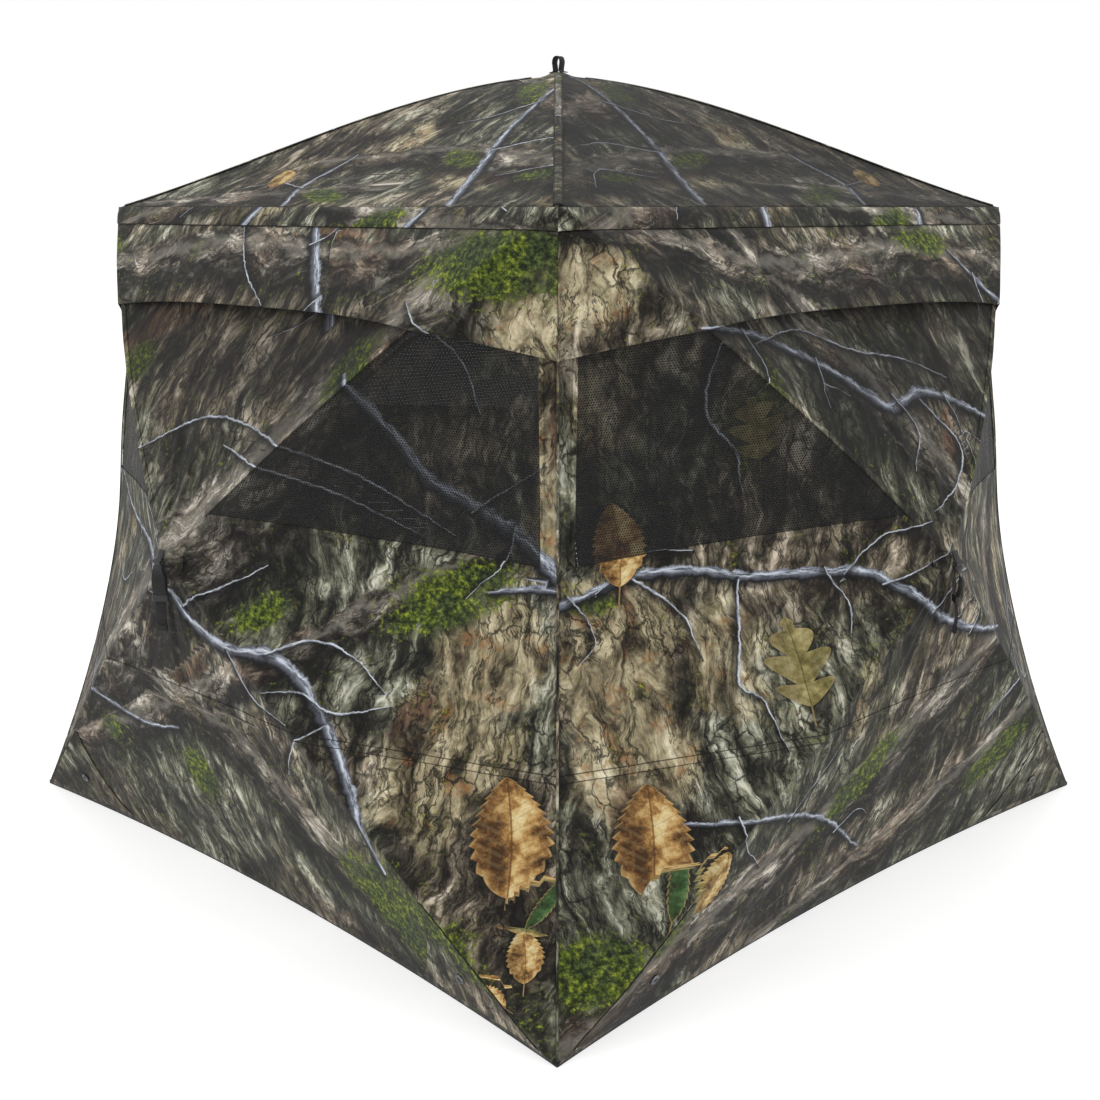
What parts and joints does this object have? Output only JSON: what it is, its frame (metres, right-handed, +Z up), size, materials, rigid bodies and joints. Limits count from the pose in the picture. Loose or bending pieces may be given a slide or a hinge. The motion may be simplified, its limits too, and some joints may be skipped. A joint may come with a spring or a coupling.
{
  "type": "pop up ground blind",
  "caption": "Square hub-frame ground blind with pop-out fabric walls, pyramid roof, overhanging brow, mesh corner windows, zipped door and pull straps.",
  "frame": {"origin": "centre of the footprint on the ground", "axes": "+Z up, -Y out of the front wall, +X out of the right wall; walls are square to X and Y"},
  "size_m": [2.039, 2.039, 1.6447],
  "materials": {
    "camouflage_cloth": "matt printed polyester, woodland bark print",
    "window_mesh": "printed see-through mesh",
    "black_webbing": "woven polypropylene webbing",
    "plated_eyelet": "dark plated",
    "zip_metal": "black enamelled",
    "moulded_nylon": "moulded, fine texture",
    "steel_pin": "zinc plated",
    "fibreglass_pole": "pultruded, satin"
  },
  "bodies": {
    "canopy": {"roof_skin": "camouflage_cloth", "eave_band": "camouflage_cloth", "brow_valance": "camouflage_cloth", "front_wall_skin": "camouflage_cloth", "right_wall_skin": "camouflage_cloth", "back_wall_skin": "camouflage_cloth", "left_wall_skin": "camouflage_cloth", "window_meshes": "window_mesh", "hem_binding": "black_webbing", "top_corner_pockets": "black_webbing", "bottom_corner_pockets": "black_webbing", "corner_patches": "camouflage_cloth", "grommets": "plated_eyelet", "door_zip_tapes": "black_webbing"},
    "door_hinge": {"door_hinge_tape": "black_webbing"},
    "door": {"door_panel": "camouflage_cloth"},
    "upper_slider": {"upper_zip_slider": "zip_metal"},
    "lower_slider": {"lower_zip_slider": "zip_metal"},
    "front_hub": {"front_hub_core": "moulded_nylon", "front_hub_pins": "steel_pin", "front_hub_cap": "moulded_nylon"},
    "front_pole_upper_right": {"front_pole_upper_right": "fibreglass_pole"},
    "front_pole_upper_left": {"front_pole_upper_left": "fibreglass_pole"},
    "front_pole_lower_left": {"front_pole_lower_left": "fibreglass_pole"},
    "front_pole_lower_right": {"front_pole_lower_right": "fibreglass_pole"},
    "front_pull_strap": {"front_pull_strap": "black_webbing"},
    "right_hub": {"right_hub_core": "moulded_nylon", "right_hub_pins": "steel_pin", "right_hub_cap": "moulded_nylon"},
    "right_pole_upper_right": {"right_pole_upper_right": "fibreglass_pole"},
    "right_pole_upper_left": {"right_pole_upper_left": "fibreglass_pole"},
    "right_pole_lower_left": {"right_pole_lower_left": "fibreglass_pole"},
    "right_pole_lower_right": {"right_pole_lower_right": "fibreglass_pole"},
    "right_pull_strap": {"right_pull_strap": "black_webbing"},
    "back_hub": {"back_hub_core": "moulded_nylon", "back_hub_pins": "steel_pin", "back_hub_cap": "moulded_nylon"},
    "back_pole_upper_right": {"back_pole_upper_right": "fibreglass_pole"},
    "back_pole_upper_left": {"back_pole_upper_left": "fibreglass_pole"},
    "back_pole_lower_left": {"back_pole_lower_left": "fibreglass_pole"},
    "back_pole_lower_right": {"back_pole_lower_right": "fibreglass_pole"},
    "back_pull_strap": {"back_pull_strap": "black_webbing"},
    "left_hub": {"left_hub_core": "moulded_nylon", "left_hub_pins": "steel_pin", "left_hub_cap": "moulded_nylon"},
    "left_pole_upper_right": {"left_pole_upper_right": "fibreglass_pole"},
    "left_pole_upper_left": {"left_pole_upper_left": "fibreglass_pole"},
    "left_pole_lower_left": {"left_pole_lower_left": "fibreglass_pole"},
    "left_pole_lower_right": {"left_pole_lower_right": "fibreglass_pole"},
    "left_pull_strap": {"left_pull_strap": "black_webbing"},
    "roof_hub": {"roof_hub_core": "moulded_nylon", "roof_hub_pins": "steel_pin", "roof_hub_cap": "moulded_nylon", "roof_pull_loop": "black_webbing"},
    "roof_pole_right_back": {"roof_pole_right_back": "fibreglass_pole"},
    "roof_pole_left_back": {"roof_pole_left_back": "fibreglass_pole"},
    "roof_pole_left_front": {"roof_pole_left_front": "fibreglass_pole"},
    "roof_pole_right_front": {"roof_pole_right_front": "fibreglass_pole"}
  },
  "joints": [
    {"name": "front_hub_slide", "type": "slide", "parent": "canopy", "child": "front_hub", "axis": [0, -0.9913, 0.1318], "range_m": [-0.446, 0], "deforming": ["front_wall_skin", "window_meshes", "brow_valance", "eave_band", "top_corner_pockets", "bottom_corner_pockets", "corner_patches", "grommets"]},
    {"name": "front_pole_upper_right_pivot", "type": "hinge", "parent": "front_hub", "child": "front_pole_upper_right", "pos_m": [0.02145, -0.96414, 0.72715], "axis": [-0.6991, 0.0943, 0.7088], "range_deg": [-29.55, 0]},
    {"name": "front_pole_upper_left_pivot", "type": "hinge", "parent": "front_hub", "child": "front_pole_upper_left", "pos_m": [-0.02145, -0.96414, 0.72715], "axis": [-0.6991, -0.0943, -0.7088], "range_deg": [-29.55, 0]},
    {"name": "front_pole_lower_left_pivot", "type": "hinge", "parent": "front_hub", "child": "front_pole_lower_left", "pos_m": [-0.02336, -0.96939, 0.6877], "axis": [0.6274, -0.1027, -0.7719], "range_deg": [-25.25, 0]},
    {"name": "front_pole_lower_right_pivot", "type": "hinge", "parent": "front_hub", "child": "front_pole_lower_right", "pos_m": [0.02336, -0.96939, 0.6877], "axis": [0.6274, 0.1027, 0.7719], "range_deg": [-25.25, 0]},
    {"name": "front_strap_swing", "type": "hinge", "parent": "front_hub", "child": "front_pull_strap", "pos_m": [0, -1.01502, 0.70872], "axis": [-1, 0, 0], "range_deg": [0, 120]},
    {"name": "right_hub_slide", "type": "slide", "parent": "canopy", "child": "right_hub", "axis": [0.9913, 0, 0.1318], "range_m": [-0.446, 0], "deforming": ["right_wall_skin"]},
    {"name": "right_pole_upper_right_pivot", "type": "hinge", "parent": "right_hub", "child": "right_pole_upper_right", "pos_m": [0.96414, 0.02145, 0.72715], "axis": [-0.0943, -0.6991, 0.7088], "range_deg": [-29.55, 0]},
    {"name": "right_pole_upper_left_pivot", "type": "hinge", "parent": "right_hub", "child": "right_pole_upper_left", "pos_m": [0.96414, -0.02145, 0.72715], "axis": [0.0943, -0.6991, -0.7088], "range_deg": [-29.55, 0]},
    {"name": "right_pole_lower_left_pivot", "type": "hinge", "parent": "right_hub", "child": "right_pole_lower_left", "pos_m": [0.96939, -0.02336, 0.6877], "axis": [0.1027, 0.6274, -0.7719], "range_deg": [-25.25, 0]},
    {"name": "right_pole_lower_right_pivot", "type": "hinge", "parent": "right_hub", "child": "right_pole_lower_right", "pos_m": [0.96939, 0.02336, 0.6877], "axis": [-0.1027, 0.6274, 0.7719], "range_deg": [-25.25, 0]},
    {"name": "right_strap_swing", "type": "hinge", "parent": "right_hub", "child": "right_pull_strap", "pos_m": [1.01502, 0, 0.70872], "axis": [0, -1, 0], "range_deg": [0, 120]},
    {"name": "back_hub_slide", "type": "slide", "parent": "canopy", "child": "back_hub", "axis": [0, 0.9913, 0.1318], "range_m": [-0.446, 0], "deforming": ["back_wall_skin", "door_zip_tapes", "door_panel"]},
    {"name": "back_pole_upper_right_pivot", "type": "hinge", "parent": "back_hub", "child": "back_pole_upper_right", "pos_m": [-0.02145, 0.96414, 0.72715], "axis": [0.6991, -0.0943, 0.7088], "range_deg": [-29.55, 0]},
    {"name": "back_pole_upper_left_pivot", "type": "hinge", "parent": "back_hub", "child": "back_pole_upper_left", "pos_m": [0.02145, 0.96414, 0.72715], "axis": [0.6991, 0.0943, -0.7088], "range_deg": [-29.55, 0]},
    {"name": "back_pole_lower_left_pivot", "type": "hinge", "parent": "back_hub", "child": "back_pole_lower_left", "pos_m": [0.02336, 0.96939, 0.6877], "axis": [-0.6274, 0.1027, -0.7719], "range_deg": [-25.25, 0]},
    {"name": "back_pole_lower_right_pivot", "type": "hinge", "parent": "back_hub", "child": "back_pole_lower_right", "pos_m": [-0.02336, 0.96939, 0.6877], "axis": [-0.6274, -0.1027, 0.7719], "range_deg": [-25.25, 0]},
    {"name": "back_strap_swing", "type": "hinge", "parent": "back_hub", "child": "back_pull_strap", "pos_m": [0, 1.01502, 0.70872], "axis": [1, 0, 0], "range_deg": [0, 120]},
    {"name": "left_hub_slide", "type": "slide", "parent": "canopy", "child": "left_hub", "axis": [-0.9913, 0, 0.1318], "range_m": [-0.446, 0], "deforming": ["left_wall_skin"]},
    {"name": "left_pole_upper_right_pivot", "type": "hinge", "parent": "left_hub", "child": "left_pole_upper_right", "pos_m": [-0.96414, -0.02145, 0.72715], "axis": [0.0943, 0.6991, 0.7088], "range_deg": [-29.55, 0]},
    {"name": "left_pole_upper_left_pivot", "type": "hinge", "parent": "left_hub", "child": "left_pole_upper_left", "pos_m": [-0.96414, 0.02145, 0.72715], "axis": [-0.0943, 0.6991, -0.7088], "range_deg": [-29.55, 0]},
    {"name": "left_pole_lower_left_pivot", "type": "hinge", "parent": "left_hub", "child": "left_pole_lower_left", "pos_m": [-0.96939, 0.02336, 0.6877], "axis": [-0.1027, -0.6274, -0.7719], "range_deg": [-25.25, 0]},
    {"name": "left_pole_lower_right_pivot", "type": "hinge", "parent": "left_hub", "child": "left_pole_lower_right", "pos_m": [-0.96939, -0.02336, 0.6877], "axis": [0.1027, -0.6274, 0.7719], "range_deg": [-25.25, 0]},
    {"name": "left_strap_swing", "type": "hinge", "parent": "left_hub", "child": "left_pull_strap", "pos_m": [-1.01502, 0, 0.70872], "axis": [0, 1, 0], "range_deg": [0, 120]},
    {"name": "roof_hub_slide", "type": "slide", "parent": "canopy", "child": "roof_hub", "axis": [0, 0, 1], "range_m": [-0.502, 0], "deforming": ["roof_skin"]},
    {"name": "roof_pole_right_back_pivot", "type": "hinge", "parent": "roof_hub", "child": "roof_pole_right_back", "pos_m": [0.02121, 0.02121, 1.568], "axis": [-0.7071, 0.7071, 0], "range_deg": [-32.67, 0]},
    {"name": "roof_pole_left_back_pivot", "type": "hinge", "parent": "roof_hub", "child": "roof_pole_left_back", "pos_m": [-0.02121, 0.02121, 1.568], "axis": [-0.7071, -0.7071, 0], "range_deg": [-32.67, 0]},
    {"name": "roof_pole_left_front_pivot", "type": "hinge", "parent": "roof_hub", "child": "roof_pole_left_front", "pos_m": [-0.02121, -0.02121, 1.568], "axis": [0.7071, -0.7071, 0], "range_deg": [-32.67, 0]},
    {"name": "roof_pole_right_front_pivot", "type": "hinge", "parent": "roof_hub", "child": "roof_pole_right_front", "pos_m": [0.02121, -0.02121, 1.568], "axis": [0.7071, 0.7071, 0], "range_deg": [-32.67, 0]},
    {"name": "door_hinge_follow", "type": "hinge", "parent": "canopy", "child": "door_hinge", "pos_m": [-0.73011, 0.80328, 0.17665], "axis": [0.1307, -0.1307, 0.9828], "range_deg": [-37.06, 0]},
    {"name": "door_swing", "type": "hinge", "parent": "door_hinge", "child": "door", "pos_m": [-0.73011, 0.80328, 0.17665], "axis": [0.1307, -0.1307, 0.9828], "range_deg": [0, 100]},
    {"name": "upper_zip_slide", "type": "slide", "parent": "back_pole_upper_right", "child": "upper_slider", "axis": [-0.6915, -0.3415, 0.6366], "range_m": [0, 0.616]},
    {"name": "lower_zip_slide", "type": "slide", "parent": "back_pole_lower_right", "child": "lower_slider", "axis": [-0.76, -0.1356, -0.6357], "range_m": [0, 0.762]}
  ],
  "couplings": [
    {"joint": "front_pole_upper_right_pivot", "follows": "front_hub_slide", "rad_per_m": 1.1542},
    {"joint": "front_pole_upper_left_pivot", "follows": "front_hub_slide", "rad_per_m": 1.1542},
    {"joint": "front_pole_lower_left_pivot", "follows": "front_hub_slide", "rad_per_m": 0.98626},
    {"joint": "front_pole_lower_right_pivot", "follows": "front_hub_slide", "rad_per_m": 0.98626},
    {"joint": "right_pole_upper_right_pivot", "follows": "right_hub_slide", "rad_per_m": 1.1542},
    {"joint": "right_pole_upper_left_pivot", "follows": "right_hub_slide", "rad_per_m": 1.1542},
    {"joint": "right_pole_lower_left_pivot", "follows": "right_hub_slide", "rad_per_m": 0.98626},
    {"joint": "right_pole_lower_right_pivot", "follows": "right_hub_slide", "rad_per_m": 0.98626},
    {"joint": "back_pole_upper_right_pivot", "follows": "back_hub_slide", "rad_per_m": 1.1542},
    {"joint": "back_pole_upper_left_pivot", "follows": "back_hub_slide", "rad_per_m": 1.1542},
    {"joint": "back_pole_lower_left_pivot", "follows": "back_hub_slide", "rad_per_m": 0.98626},
    {"joint": "back_pole_lower_right_pivot", "follows": "back_hub_slide", "rad_per_m": 0.98626},
    {"joint": "left_pole_upper_right_pivot", "follows": "left_hub_slide", "rad_per_m": 1.1542},
    {"joint": "left_pole_upper_left_pivot", "follows": "left_hub_slide", "rad_per_m": 1.1542},
    {"joint": "left_pole_lower_left_pivot", "follows": "left_hub_slide", "rad_per_m": 0.98626},
    {"joint": "left_pole_lower_right_pivot", "follows": "left_hub_slide", "rad_per_m": 0.98626},
    {"joint": "roof_pole_right_back_pivot", "follows": "roof_hub_slide", "rad_per_m": 1.1342},
    {"joint": "roof_pole_left_back_pivot", "follows": "roof_hub_slide", "rad_per_m": 1.1342},
    {"joint": "roof_pole_left_front_pivot", "follows": "roof_hub_slide", "rad_per_m": 1.1342},
    {"joint": "roof_pole_right_front_pivot", "follows": "roof_hub_slide", "rad_per_m": 1.1342},
    {"joint": "door_hinge_follow", "follows": "back_hub_slide", "rad_per_m": 1.4482}
  ]
}
